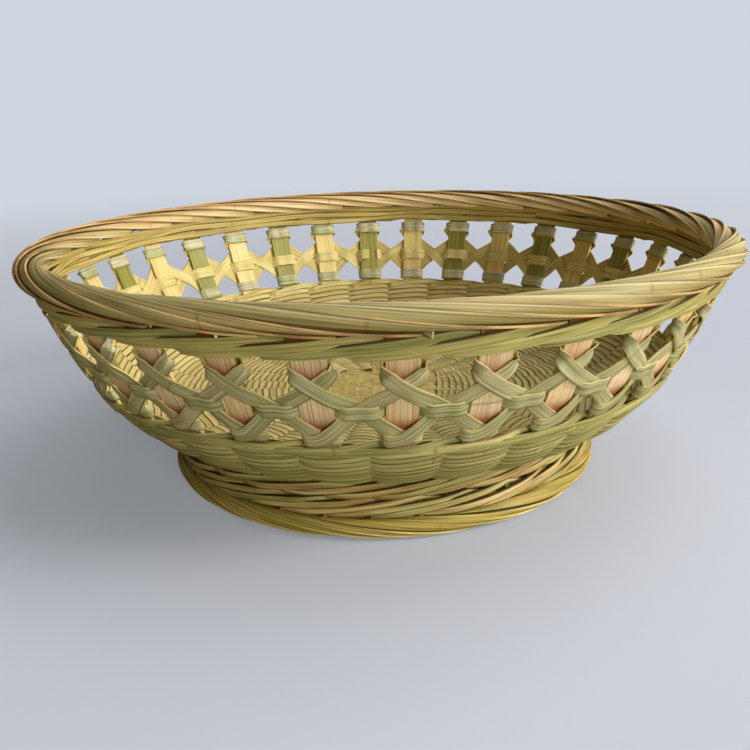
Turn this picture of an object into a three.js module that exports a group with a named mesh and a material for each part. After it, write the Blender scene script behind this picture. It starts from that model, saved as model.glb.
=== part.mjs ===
// Footed bamboo basket: a woven bowl with an open lattice of wrapped strips, on a woven foot ring.
// Millimetres, +Z up, origin at the middle of the foot's resting face.
import * as THREE from 'three';

// Rim border, the thick roll round the mouth
const rimRadius = 150;
const rimWidth = 12.8;
const rimHeight = 10;
const totalHeight = 102.5;

// Bowl wall, measured at the middle of the stakes' thickness.
// It is flat out to floorRadius, then climbs as a power curve to the underside of the rim,
// which it meets a little inside the middle of the roll.
const floorRadius = 88;
const floorHeight = 27;
const wallInsideRim = 1;
const wallPower = 2.5;
const wallSteps = 11;

// Stakes, the upright flat strips
const stakeCount = 32;
const stakeThickness = 1.2;
const stakeWidthAtFloor = 8.6;
const stakeWidthAtRim = 11;
const stakeStartRise = 3.4;
const stakeInRim = 4.4;

// Floor, woven over spokes that run out to the stakes. Its half thickness is floorRib over a
// spoke and floorDip between two. The ribs reach their full height ribStart from the middle.
const floorRib = 2;
const floorDip = 1.1;
const ribStart = 36;

// Woven skins of the belly and the side above it, and the heavier band on top.
// The belly's skins end bellyRise above the floor.
const skinThickness = 1.6;
const bellyRise = 7.5;
const bandHeight = 3.6;
const bandThickness = 1;

// Lattice between the lower body and the upper wale. Its crossings lie a little below its middle.
const latticeHeight = 32;
const crossingDrop = 2;
const stripWidth = 5.4;
const stripThickness = 0.8;
const hoopWidth = 5.8;
const turnLength = 1.5;
const zigzagParts = 4;

// Upper wale, the twined rows under the rim
const waleHeight = 8.2;
const waleRows = 3;
const waleOuterThickness = 2;
const waleRowDepth = 0.6;
const waleInnerThickness = 1.6;

// Foot ring
const footBaseRadius = 96;
const footFlare = 2;
const footBorderHeight = 8;
const footBorderWidth = 7.8;
const footBorderChamfer = 1.6;
const footSole = 2.6;
const footRows = 4;
const footRowDepth = 3.2;
const footRowBulge = 0.7;
const footCoreThickness = 1.4;
const footInnerThickness = 2;

// Gap between any two pieces, and the number of flats on a turned ring
const clearance = 0.3;
const ringSides = 48;

const tau = 2 * Math.PI;
const rimCentreRadius = rimRadius - rimWidth / 2;
const rimCentreHeight = totalHeight - rimHeight / 2;
const wallTop = totalHeight - rimHeight - clearance;
const wallRise = wallTop - floorHeight;
const wallTopRadius = rimCentreRadius - wallInsideRim;
const wallSpan = wallTopRadius - floorRadius;
const latticeTop = wallTop - waleHeight;
const latticeBottom = latticeTop - latticeHeight;
const skinOffset = stakeThickness / 2 + clearance;
const behindOffset = -(stakeThickness + stripThickness) / 2 - clearance;
const underOffset = -behindOffset;
const overOffset = underOffset + stripThickness + clearance;
const innerCrossing = behindOffset + stripThickness + clearance;
const outerCrossing = innerCrossing + stripThickness + clearance;

const bark = { color: 0xa9a878, roughness: 0.5, metalness: 0 };
const flesh = { color: 0xd3a97f, roughness: 0.65, metalness: 0 };
const rimBamboo = { color: 0xc2ac70, roughness: 0.55, metalness: 0 };
const footBamboo = { color: 0xa59c4b, roughness: 0.55, metalness: 0 };

const basket = new THREE.Group();

function addPiece(name, geometry, finish) {
  const piece = new THREE.Mesh(geometry, new THREE.MeshStandardMaterial(finish));
  piece.name = name;
  basket.add(piece);
  return piece;
}

// Wall radius at a height, and height at a radius
const wallRadius = (height) =>
  floorRadius + wallSpan * (Math.max(height - floorHeight, 0) / wallRise) ** (1 / wallPower);
const wallHeight = (radius) =>
  floorHeight + wallRise * (Math.max(radius - floorRadius, 0) / wallSpan) ** wallPower;

// Point of the wall's section, moved outwards from the stakes' middle surface
function wallPoint(radius, offset) {
  const reach = Math.max(radius - floorRadius, 0) / wallSpan;
  const slope = Math.atan(((wallRise * wallPower) / wallSpan) * reach ** (wallPower - 1));
  return new THREE.Vector2(
    radius + offset * Math.sin(slope),
    wallHeight(radius) - offset * Math.cos(slope),
  );
}

class WallCurve extends THREE.Curve {
  getPoint(t, target = new THREE.Vector3()) {
    const radius = floorRadius + wallSpan * t;
    return target.set(radius, wallHeight(radius), 0);
  }
}

// Radii between two radii of the wall, a step apart along its length
const wallGrid = new WallCurve().getSpacedPoints(wallSteps).map((point) => point.x);
function wallRadii(from, to) {
  const margin = wallSpan / wallSteps / 5;
  const between = wallGrid.filter((radius) => radius > from + margin && radius < to - margin);
  return [from, ...between, to];
}

// A surface that faces the axis is pushed out, so that its flats keep the stated radius
const facingAxis = (point) => new THREE.Vector2(point.x / Math.cos(Math.PI / ringSides), point.y);

// Turns a closed section about Z. Sections run counter-clockwise with the axis on their left.
function turned(section) {
  const geometry = new THREE.LatheGeometry([...section, section[0].clone()], ringSides);
  geometry.rotateX(Math.PI / 2);
  return geometry;
}

// A skin that follows the wall between two radii, from one offset to a larger one
function wallSkin(fromRadius, toRadius, innerOffset, outerOffset) {
  const radii = wallRadii(fromRadius, toRadius);
  const outer = radii.map((radius) => wallPoint(radius, outerOffset));
  const inner = radii.map((radius) => facingAxis(wallPoint(radius, innerOffset)));
  return turned([...outer, ...inner.reverse()]);
}

// Joins a row of four-cornered sections into one closed strip
function strip(sections) {
  const positions = sections.flat().flatMap((corner) => corner.toArray());
  const indices = [];
  for (let i = 0; i + 1 < sections.length; i++) {
    for (let side = 0; side < 4; side++) {
      const a = 4 * i + side;
      const b = 4 * i + ((side + 1) % 4);
      indices.push(a, b, b + 4, a, b + 4, a + 4);
    }
  }
  const last = 4 * (sections.length - 1);
  indices.push(0, 2, 1, 0, 3, 2, last, last + 1, last + 2, last, last + 2, last + 3);
  const geometry = new THREE.BufferGeometry();
  geometry.setAttribute('position', new THREE.Float32BufferAttribute(positions, 3));
  geometry.setIndex(indices);
  geometry.computeVertexNormals();
  return geometry;
}

const onCircle = (angle, point) =>
  new THREE.Vector3(point.x * Math.sin(angle), -point.x * Math.cos(angle), point.y);

// Section of a flat strip, spread by half an angle to both sides of its middle
const flatSection = (half, inner, outer) => [
  onCircle(-half, inner),
  onCircle(-half, outer),
  onCircle(half, outer),
  onCircle(half, inner),
];

// A disc with a rib over each spoke on both faces. One rib takes three steps of the circle:
// up from a dip, along the rib's back, and down to the next dip.
function addFloor() {
  const edge = (floorRadius - clearance) * Math.cos(Math.PI / ringSides);
  const steps = 3 * stakeCount;
  const face = (side) => [ribStart, edge].map((radius) =>
    Array.from({ length: steps }, (_, i) => {
      const height = floorHeight + side * (i % 3 === 0 ? floorDip : floorRib);
      return onCircle((i * tau) / steps, new THREE.Vector2(radius, height));
    }),
  );
  const middle = (side) => new THREE.Vector3(0, 0, floorHeight + side * floorDip);
  const rings = [...face(1), ...face(-1).reverse()];
  const corners = [...rings.flat(), middle(1), middle(-1)];
  const top = 4 * steps;
  const indices = [];
  for (let i = 0; i < steps; i++) {
    const next = (i + 1) % steps;
    indices.push(top, i, next, top + 1, 3 * steps + next, 3 * steps + i);
    for (let ring = 0; ring < 3; ring++) {
      const [a, b] = [ring * steps + i, ring * steps + next];
      indices.push(a, a + steps, b + steps, a, b + steps, b);
    }
  }
  const geometry = new THREE.BufferGeometry().setFromPoints(corners);
  geometry.setIndex(indices);
  geometry.computeVertexNormals();
  addPiece('floor_weave', geometry, bark);
}

function addLowerBody() {
  const bellyEdge = wallRadius(floorHeight + bellyRise);
  const sideEdge = bellyEdge + clearance;
  const top = wallRadius(latticeBottom);
  const bandFoot = wallRadius(latticeBottom - bandHeight);
  const outerFace = skinOffset + skinThickness;
  addPiece('belly_weave_outer', wallSkin(floorRadius, bellyEdge, skinOffset, outerFace), bark);
  addPiece('belly_weave_inner', wallSkin(floorRadius, bellyEdge, -outerFace, -skinOffset), bark);
  addPiece('side_weave_outer', wallSkin(sideEdge, top, skinOffset, outerFace), bark);
  addPiece('side_weave_inner', wallSkin(sideEdge, top, -outerFace, -skinOffset), bark);
  const bandInner = outerFace + clearance;
  addPiece('lower_band', wallSkin(bandFoot, top, bandInner, bandInner + bandThickness), bark);
}

const stakeHalfWidth = (radius) => {
  const share = (radius - floorRadius) / wallSpan;
  return (stakeWidthAtFloor + (stakeWidthAtRim - stakeWidthAtFloor) * share) / 2;
};

// Half the angle that a stake takes up at a height of the wall, with its clearance
function stakeEdge(height) {
  const radius = wallRadius(height);
  return (stakeHalfWidth(radius) + clearance) / radius;
}

function stakeSection(radius) {
  const outer = wallPoint(radius, stakeThickness / 2);
  const inner = wallPoint(radius, -stakeThickness / 2);
  return flatSection(stakeHalfWidth(radius) / radius, inner, outer);
}

// The end of a stake stands upright in the groove of the rim border
function stakeEnd(height) {
  const outer = new THREE.Vector2(wallTopRadius + stakeThickness / 2, height);
  const inner = new THREE.Vector2(wallTopRadius - stakeThickness / 2, height);
  return flatSection(stakeHalfWidth(wallTopRadius) / wallTopRadius, inner, outer);
}

function addStakes() {
  const startRadius = wallRadius(floorHeight + stakeStartRise);
  const radii = wallRadii(startRadius, wallRadius(wallTop - 2 * clearance));
  const sections = radii.map(stakeSection);
  sections.push(stakeEnd(wallTop + stakeInRim));
  for (let i = 0; i < stakeCount; i++) {
    const stake = addPiece(`stake_${String(i + 1).padStart(2, '0')}`, strip(sections), flesh);
    stake.rotation.z = ((i + 0.5) * tau) / stakeCount;
  }
}

// Heights of the lattice strips' turns round the stakes, and of their crossings between them
const wrapTop = latticeTop - clearance - stripWidth / 2;
const wrapBottom = latticeBottom + clearance + stripWidth / 2;
const crossingHeight = (wrapTop + wrapBottom) / 2 - crossingDrop;
const pitch = tau / stakeCount;

// Angle to either side of a crossing within which the two strips lie over each other
const crossingReach = (half, slope) =>
  half / Math.abs(slope) + clearance / wallRadius(crossingHeight);

// Route of a zigzag strip over one stake pitch, from behind a stake to behind the next one.
// Each point has its angle, height, offset from the wall and half of its upright width.
function zigzagPitch(stakeIndex, startsAtTop, crossingOffset) {
  const from = startsAtTop ? wrapTop : wrapBottom;
  const to = startsAtTop ? wrapBottom : wrapTop;
  const edgeFrom = stakeEdge(from);
  const edgeTo = stakeEdge(to);
  const turnFrom = turnLength / wallRadius(from);
  const turnTo = turnLength / wallRadius(to);
  const slopeFrom = (crossingHeight - from) / (pitch / 2 + edgeFrom);
  const slopeTo = (to - crossingHeight) / (pitch / 2 + edgeTo);
  const wrap = stripWidth / 2;
  const legFrom = wrap * Math.hypot(1, slopeFrom / wallRadius(crossingHeight));
  const legTo = wrap * Math.hypot(1, slopeTo / wallRadius(crossingHeight));
  const reachFrom = crossingReach(legFrom, slopeFrom);
  const reachTo = crossingReach(legTo, slopeTo);
  const start = stakeIndex * pitch;
  const middle = start + pitch / 2;
  const next = start + pitch;
  return [
    [start - edgeFrom, from, behindOffset, wrap],
    [start - edgeFrom - turnFrom, from, (behindOffset + overOffset) / 2, wrap],
    [start - edgeFrom, from, overOffset, wrap],
    [start + edgeFrom, from + slopeFrom * 2 * edgeFrom, overOffset, legFrom],
    [middle - reachFrom, crossingHeight - slopeFrom * reachFrom, crossingOffset, legFrom],
    [middle + reachTo, crossingHeight + slopeTo * reachTo, crossingOffset, legTo],
    [next - edgeTo, to - slopeTo * 2 * edgeTo, underOffset, legTo],
    [next + edgeTo, to, underOffset, wrap],
    [next + edgeTo + turnTo, to, 0, wrap],
    [next + edgeTo, to, behindOffset, wrap],
  ].map(([angle, height, offset, half]) => ({ angle, height, offset, half }));
}

// Direction from one route point to the next, along the wall and away from it
const heading = (from, to) =>
  new THREE.Vector2(
    (to.angle - from.angle) * wallRadius((from.height + to.height) / 2),
    to.offset - from.offset,
  ).normalize();

// Gives each route point a section: upright, and square to the route as seen from above
function stripSections(route) {
  const headings = route.slice(1).map((point, i) => heading(route[i], point));
  return route.map((point, i) => {
    const arriving = headings[Math.max(i - 1, 0)];
    const leaving = headings[Math.min(i, headings.length - 1)];
    const along = arriving.clone().add(leaving).normalize();
    const side = new THREE.Vector2(along.y, -along.x);
    const miter = stripThickness / 2 / Math.max(along.dot(leaving), 0.5);
    const corner = (sideSign, upSign) => {
      const height = point.height + upSign * point.half;
      const wall = wallPoint(wallRadius(height), point.offset + sideSign * side.y * miter);
      const angle = point.angle + (sideSign * side.x * miter) / wallRadius(point.height);
      return onCircle(angle, wall);
    };
    return [corner(1, -1), corner(1, 1), corner(-1, 1), corner(-1, -1)];
  });
}

// Each zigzag strip is pieced from several lengths, whose ends meet behind a stake
function addZigzag(letter, topParity, crossingOffset) {
  for (let part = 0; part < zigzagParts; part++) {
    const first = Math.round((part * stakeCount) / zigzagParts);
    const last = Math.round(((part + 1) * stakeCount) / zigzagParts);
    const route = [];
    for (let i = first; i < last; i++) {
      route.push(...zigzagPitch(i, i % 2 === topParity, crossingOffset));
    }
    const endGap = clearance / 2 / wallRadius(crossingHeight);
    const head = { ...route[0], angle: first * pitch - endGap };
    const tail = { ...route.at(-1), angle: last * pitch + endGap };
    const sections = stripSections([head, ...route, tail]);
    const piece = addPiece(`zigzag_${letter}_${part + 1}`, strip(sections), bark);
    piece.rotation.z = pitch / 2;
  }
}

// The hoop lies against the inside of the stakes, behind the crossings
function addMiddleHoop() {
  const low = wallRadius(crossingHeight - hoopWidth / 2);
  const high = wallRadius(crossingHeight + hoopWidth / 2);
  const inner = -skinOffset - stripThickness;
  addPiece('middle_hoop', wallSkin(low, high, inner, -skinOffset), bark);
}

function addUpperWale() {
  const level = (point) => new THREE.Vector2(point.x, wallTop);
  const bottomRadius = wallRadius(latticeTop);
  const outerFace = skinOffset + waleOuterThickness;
  const outer = [];
  for (let i = 0; i <= 2 * waleRows; i++) {
    const height = latticeTop + (waleHeight * i) / (2 * waleRows);
    const offset = i % 2 === 0 ? outerFace - waleRowDepth : outerFace;
    outer.push(wallPoint(wallRadius(height), offset));
  }
  outer.push(level(outer.pop()));
  const bore = [
    facingAxis(level(wallPoint(wallTopRadius, skinOffset))),
    facingAxis(wallPoint(bottomRadius, skinOffset)),
  ];
  addPiece('upper_wale_outer', turned([...outer, ...bore]), bark);
  const liningFace = -skinOffset - waleInnerThickness;
  addPiece(
    'upper_wale_inner',
    turned([
      wallPoint(bottomRadius, -skinOffset),
      level(wallPoint(wallTopRadius, -skinOffset)),
      facingAxis(level(wallPoint(wallTopRadius, liningFace))),
      facingAxis(wallPoint(bottomRadius, liningFace)),
    ]),
    rimBamboo,
  );
}

// An oval roll with a groove below, in which the stakes' ends stand
function addRimBorder() {
  const grooveInner = wallTopRadius - stakeThickness / 2 - clearance;
  const grooveOuter = facingAxis(
    new THREE.Vector2(wallTopRadius + stakeThickness / 2 + clearance, 0),
  ).x;
  const grooveTop = wallTop + stakeInRim + clearance;
  const angleAt = (radius) => Math.acos((radius - rimCentreRadius) / (rimWidth / 2));
  const arc = (from, to, steps) =>
    new THREE.EllipseCurve(
      rimCentreRadius,
      rimCentreHeight,
      rimWidth / 2,
      rimHeight / 2,
      from,
      to,
    ).getPoints(steps);
  const section = [
    ...arc(-angleAt(grooveOuter), 0, 3),
    ...arc(0, Math.PI, 6).slice(1),
    ...arc(Math.PI, tau - angleAt(grooveInner), 3).slice(1),
    new THREE.Vector2(grooveInner, grooveTop),
    new THREE.Vector2(grooveOuter, grooveTop),
  ];
  addPiece('rim_border', turned(section), rimBamboo);
}

// The foot's layers from outside to inside, and the underside of the bowl that its top meets
const coreInset = footRowDepth + clearance;
const liningInset = coreInset + footCoreThickness + clearance;
const footInnerRadius = footBaseRadius - footFlare - liningInset - footInnerThickness;
const footTop = wallPoint(footInnerRadius, skinOffset + skinThickness).y - clearance;
const footRadius = (height) => footBaseRadius - (footFlare * height) / footTop;

function footRing(low, high, outerInset, thickness, bulge) {
  const middle = (low + high) / 2;
  const outer = [
    new THREE.Vector2(footRadius(low) - outerInset - bulge, low),
    new THREE.Vector2(footRadius(middle) - outerInset, middle),
    new THREE.Vector2(footRadius(high) - outerInset - bulge, high),
  ];
  const inner = [high, low].map((height) =>
    facingAxis(new THREE.Vector2(footRadius(height) - outerInset - thickness, height)),
  );
  return turned([...outer, ...inner]);
}

function addFoot() {
  const borderInner = footBaseRadius - footBorderWidth;
  const seatOuter = facingAxis(
    new THREE.Vector2(footRadius(footSole) - coreInset + clearance, 0),
  ).x;
  const seatInner = footRadius(footBorderHeight) - coreInset - footCoreThickness - clearance;
  const chamfer = footBorderChamfer;
  addPiece(
    'foot_border',
    turned([
      new THREE.Vector2(borderInner + chamfer, 0),
      new THREE.Vector2(footBaseRadius - chamfer, 0),
      new THREE.Vector2(footBaseRadius, chamfer),
      new THREE.Vector2(footBaseRadius, footBorderHeight - chamfer),
      new THREE.Vector2(footBaseRadius - chamfer, footBorderHeight),
      new THREE.Vector2(seatOuter, footBorderHeight),
      new THREE.Vector2(seatOuter, footSole),
      new THREE.Vector2(seatInner, footSole),
      new THREE.Vector2(seatInner, footBorderHeight),
      new THREE.Vector2(borderInner + chamfer, footBorderHeight),
      new THREE.Vector2(borderInner, footBorderHeight - chamfer),
      new THREE.Vector2(borderInner, chamfer),
    ]),
    footBamboo,
  );
  const coreFoot = footSole + clearance;
  addPiece('foot_core', footRing(coreFoot, footTop, coreInset, footCoreThickness, 0), footBamboo);
  const rowsFoot = footBorderHeight + clearance;
  const rowPitch = (footTop - rowsFoot + clearance) / footRows;
  for (let i = 0; i < footRows; i++) {
    const low = rowsFoot + i * rowPitch;
    const row = footRing(low, low + rowPitch - clearance, 0, footRowDepth, footRowBulge);
    addPiece(`foot_wale_${i + 1}`, row, footBamboo);
  }
  const lining = footRing(rowsFoot, footTop, liningInset, footInnerThickness, 0);
  addPiece('foot_inner_wale', lining, footBamboo);
}

addFloor();
addLowerBody();
addStakes();
addZigzag('a', 0, outerCrossing);
addZigzag('b', 1, innerCrossing);
addMiddleHoop();
addUpperWale();
addRimBorder();
addFoot();

export default basket;
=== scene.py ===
import math
import random

import bpy
import numpy as np
from mathutils import Matrix, Vector


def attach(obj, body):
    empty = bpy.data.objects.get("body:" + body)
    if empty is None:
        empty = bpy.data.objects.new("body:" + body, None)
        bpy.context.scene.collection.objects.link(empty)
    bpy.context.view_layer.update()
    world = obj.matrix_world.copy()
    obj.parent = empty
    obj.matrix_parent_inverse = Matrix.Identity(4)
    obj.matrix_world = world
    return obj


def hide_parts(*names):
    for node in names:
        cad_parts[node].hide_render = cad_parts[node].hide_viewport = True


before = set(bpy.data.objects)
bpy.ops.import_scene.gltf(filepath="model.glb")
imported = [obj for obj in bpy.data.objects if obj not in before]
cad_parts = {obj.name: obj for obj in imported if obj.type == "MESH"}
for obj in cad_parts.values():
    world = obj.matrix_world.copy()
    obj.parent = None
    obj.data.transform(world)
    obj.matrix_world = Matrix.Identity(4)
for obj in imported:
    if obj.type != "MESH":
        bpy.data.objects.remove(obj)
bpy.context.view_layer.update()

print("frame loaded")

# Sizes of the bowl in millimetres, the same as the solids'
bowl = {
    "stakes": 32,
    "floorRadius": 88.0,
    "floorHeight": 27.0,
    "wallTop": 92.2,
    "wallTopRadius": 142.6,
    "wallPower": 2.5,
    "crossingHeight": 66.0,
}
wallRise = bowl["wallTop"] - bowl["floorHeight"]
wallSpan = bowl["wallTopRadius"] - bowl["floorRadius"]
pitch = 2 * math.pi / bowl["stakes"]
chance = random.Random(32)

# Random turns are drawn up to about a full turn. A ring of weaving stays open by its seam gap.
anyTurn = 6.28
anyPhase = 6.3
seamGap = 0.004
liningSeamGap = 0.003


def wallRadius(height):
    rise = max(height - bowl["floorHeight"], 0) / wallRise
    return bowl["floorRadius"] + wallSpan * rise ** (1 / bowl["wallPower"])


# Height and slope of the wall at a radius; the floor is flat
def wallProfile(radius):
    power = bowl["wallPower"]
    reach = np.maximum(radius - bowl["floorRadius"], 0) / wallSpan
    slope = np.arctan(wallRise * power / wallSpan * reach ** (power - 1))
    return bowl["floorHeight"] + wallRise * reach**power, slope


radiusTable = np.linspace(0, bowl["wallTopRadius"], 1500)
heightTable = wallProfile(radiusTable)[0]
arcTable = np.append(0, np.cumsum(np.hypot(np.diff(radiusTable), np.diff(heightTable))))


# Length along the wall from the middle of the floor up to a height
def arcAt(height):
    return float(np.interp(wallRadius(height), radiusTable, arcTable))


# Points of the wall by angle, length up the wall and distance outside the stakes' middle.
# Angle 0 is the front and grows to the right.
def onWall(angle, arc, offset):
    angle, arc, offset = np.broadcast_arrays(angle, arc, offset)
    radius = np.interp(arc, arcTable, radiusTable)
    height, slope = wallProfile(radius)
    away = np.stack([np.sin(angle), -np.cos(angle), np.zeros(len(angle))], 1)
    points = (radius + offset * np.sin(slope))[:, None] * away
    points[:, 2] = height - offset * np.cos(slope)
    upSlope = np.cos(slope)[:, None] * away
    upSlope[:, 2] = np.sin(slope)
    return points, upSlope


def unit(vectors):
    return vectors / np.linalg.norm(vectors, axis=1)[:, None]


# Points round the axis, and the directions up and to the left as seen from outside
def roundAxis(angle, radius, height):
    points = np.stack([radius * np.sin(angle), -radius * np.cos(angle), 0 * radius * angle], 1)
    points[:, 2] = height
    return points


def upright(count):
    return np.tile([0.0, 0, 1], (count, 1))


def leftOf(angle, count):
    return np.tile([-math.cos(angle), -math.sin(angle), 0], (count, 1))


def easeStep(share):
    return share * share * (3 - 2 * share)


# A slow wandering off the line, the sum of a few waves round the basket
def wanderRound(angle, most, waves):
    return sum(
        chance.uniform(0, most) * np.sin(n * angle + chance.uniform(0, anyPhase)) for n in waves
    )


# A smooth route through knots, sampled at an even spacing
def smoothRoute(knots, spacing):
    knots = np.asarray(knots, float)
    chord = np.append(0, np.cumsum(np.linalg.norm(np.diff(knots, axis=0), axis=1)))
    tangent = np.gradient(knots, chord, axis=0)
    sample = np.linspace(0, chord[-1], int(chord[-1] / spacing) + 1)
    i = np.clip(np.searchsorted(chord, sample, side="right") - 1, 0, len(chord) - 2)
    step = (chord[i + 1] - chord[i])[:, None]
    t = (sample - chord[i])[:, None] / step
    return (
        (2 * t**3 - 3 * t**2 + 1) * knots[i]
        + (t**3 - 2 * t**2 + t) * step * tangent[i]
        + (3 * t**2 - 2 * t**3) * knots[i + 1]
        + (t**3 - t**2) * step * tangent[i + 1]
    )


# A strip blank is a flat grid, bent here along its route. across points to the strip's far
# edge; facing, given instead, is the way its bark looks. tilt lifts the far edge, curl is
# one over the radius that the strip is bent to across its width, crown makes it domed.
def layStrip(points, width, across=None, facing=None, columns=3, tilt=0, curl=0, crown=0, tone=None):
    along = unit(np.gradient(points, axis=0))
    if across is None:
        across = np.cross(facing, along)
    across = unit(across - (across * along).sum(1)[:, None] * along)
    outward = np.cross(along, across)
    length = np.append(0, np.cumsum(np.linalg.norm(np.diff(points, axis=0), axis=1)))
    count = len(points)
    bpy.ops.mesh.primitive_grid_add(
        x_subdivisions=count - 1, y_subdivisions=columns, size=2, location=(0, 0, 0)
    )
    blank = bpy.context.object
    mesh = blank.data
    flat = np.empty(3 * len(mesh.vertices), np.float32)
    mesh.vertices.foreach_get("co", flat)
    flat = flat.reshape(-1, 3)
    step = np.rint((flat[:, 0] + 1) / 2 * (count - 1)).astype(int)
    share = flat[:, 1] / 2
    side = share * np.broadcast_to(width, count)[step]
    lift = tilt * side + crown * (1 - 4 * share**2)
    sideways = side
    if curl:
        sideways = np.sin(side * curl) / curl
        lift = lift + (np.cos(side * curl) - 1) / curl
    place = points[step] + across[step] * sideways[:, None] + outward[step] * lift[:, None]
    mesh.vertices.foreach_set("co", (place / 1000).astype(np.float32).ravel())
    corner = np.empty(len(mesh.loops), np.int32)
    mesh.loops.foreach_get("vertex_index", corner)
    uv = np.stack([length[step][corner], side[corner]], 1)
    mesh.uv_layers.active.data.foreach_set("uv", uv.astype(np.float32).ravel())
    shade = mesh.attributes.new("tone", "FLOAT", "POINT")
    value = chance.random() if tone is None else tone
    shade.data.foreach_set("value", np.full(len(mesh.vertices), value, np.float32))
    return blank


bevelAngle = 50
smoothAngle = 40


# Joins strips into one piece and gives it thickness; the inside and the cut edges get the
# second finish
def bindStrips(name, strips, thickness, finishes, nodes=(), bevel=0):
    bpy.ops.object.select_all(action="DESELECT")
    for strip in strips:
        strip.select_set(True)
    bpy.context.view_layer.objects.active = strips[0]
    if len(strips) > 1:
        bpy.ops.object.join()
    piece = bpy.context.object
    piece.name = piece.data.name = name
    for finish in finishes:
        piece.data.materials.append(finish)
    shell = piece.modifiers.new("thickness", "SOLIDIFY")
    shell.thickness = thickness / 1000
    shell.offset = 0
    shell.material_offset = 1
    shell.material_offset_rim = 1
    bpy.ops.object.modifier_apply(modifier=shell.name)
    if bevel:
        edge = piece.modifiers.new("edge", "BEVEL")
        edge.width = bevel / 1000
        edge.segments = 1
        edge.limit_method = "ANGLE"
        edge.angle_limit = math.radians(bevelAngle)
        bpy.ops.object.modifier_apply(modifier=edge.name)
    bpy.ops.object.shade_smooth_by_angle(angle=math.radians(smoothAngle))
    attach(piece, "root")
    if nodes:
        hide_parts(*nodes)


def linearColour(code):
    channels = [int(code[i : i + 2], 16) / 255 for i in (1, 3, 5)]
    return [c / 12.92 if c <= 0.04045 else ((c + 0.055) / 1.055) ** 2.4 for c in channels] + [1]


def addNode(tree, kind, settings=None, links=None):
    node = tree.nodes.new(kind)
    for key, value in (settings or {}).items():
        if isinstance(key, int):
            node.inputs[key].default_value = value
        else:
            setattr(node, key, value)
    for socket, source in (links or {}).items():
        tree.links.new(source, node.inputs[socket])
    return node


def fillRamp(ramp, stops):
    for position, _ in stops[1:-1]:
        ramp.elements.new(position)
    for element, (position, code) in zip(ramp.elements, stops):
        element.position = position
        element.color = linearColour(code)


# The culm's nodes leave a brown mark across a strip, this far apart and this wide
nodeSpacing = 230.0
nodeWidth = 0.9
nodeColour = "#80602E"
nodeStrength = 0.38

# Shift of the pattern from strip to strip, softness of a streak's side, roughness of the
# noise, shine of clean bark, and the strip length over which stains and painted shade spread
stripShift = (917, 353, 0)
streakSoftness = 0.12
noiseRoughness = 0.6
fullGloss = 0.5
stainAndShadeSpan = 100.0
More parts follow.
